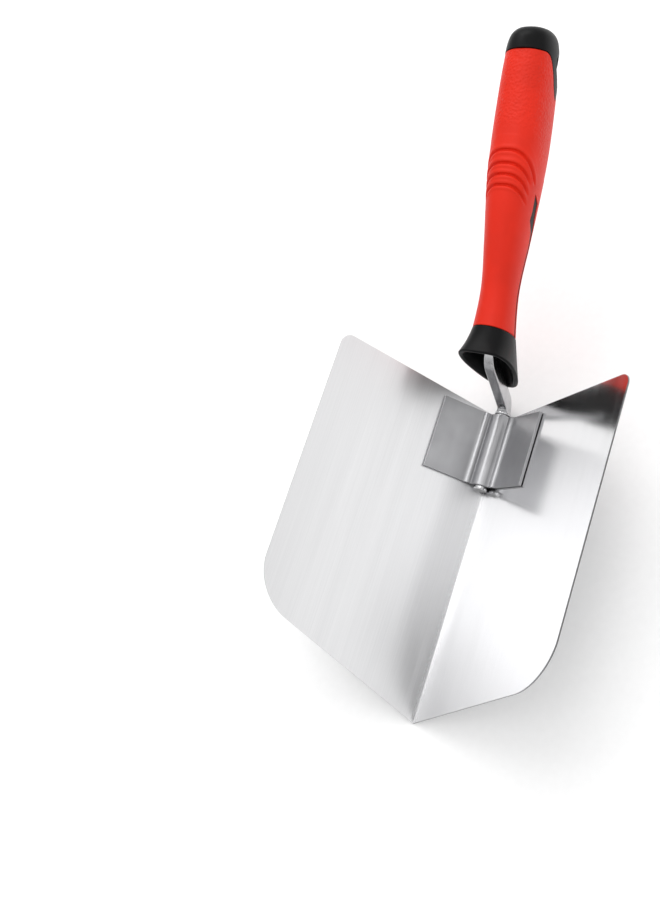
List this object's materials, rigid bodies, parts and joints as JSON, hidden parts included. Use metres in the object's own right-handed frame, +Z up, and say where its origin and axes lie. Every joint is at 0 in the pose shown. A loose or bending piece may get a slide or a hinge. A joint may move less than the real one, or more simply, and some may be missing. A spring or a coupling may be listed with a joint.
{
  "type": "inside corner trowel",
  "caption": "Inside corner trowel: thin folded steel blade, pressed saddle over a cranked tang, and a soft-gripped handle with a hang hole.",
  "frame": {"origin": "middle of the tool's box, at the height of the blade's fold, which is its lowest line", "axes": "+X along the fold towards the nose, +Z up out of the blade's hollow side, +Y to the left flange seen from the handle"},
  "size_m": [0.2474, 0.1126, 0.0973],
  "materials": {
    "blade_stainless": "fine brushed stainless, bright",
    "saddle_steel": "pressed steel, satin",
    "tang_steel": "tumbled satin steel",
    "black_plastic": "moulded black polypropylene, fine spark texture",
    "red_rubber": "soft red overmould, satin",
    "grey_plastic": "dark grey moulded plastic"
  },
  "bodies": {
    "root": {"blade": "blade_stainless", "bolster": "black_plastic", "end_cap": "black_plastic", "grip": "red_rubber", "handle_core": "black_plastic", "saddle": "saddle_steel", "stripe_left": "grey_plastic", "stripe_right": "grey_plastic", "tang": "tang_steel", "weld_left_1": "saddle_steel", "weld_left_2": "saddle_steel", "weld_left_3": "saddle_steel", "weld_right_1": "saddle_steel", "weld_right_2": "saddle_steel", "weld_right_3": "saddle_steel"}
  },
  "joints": []
}
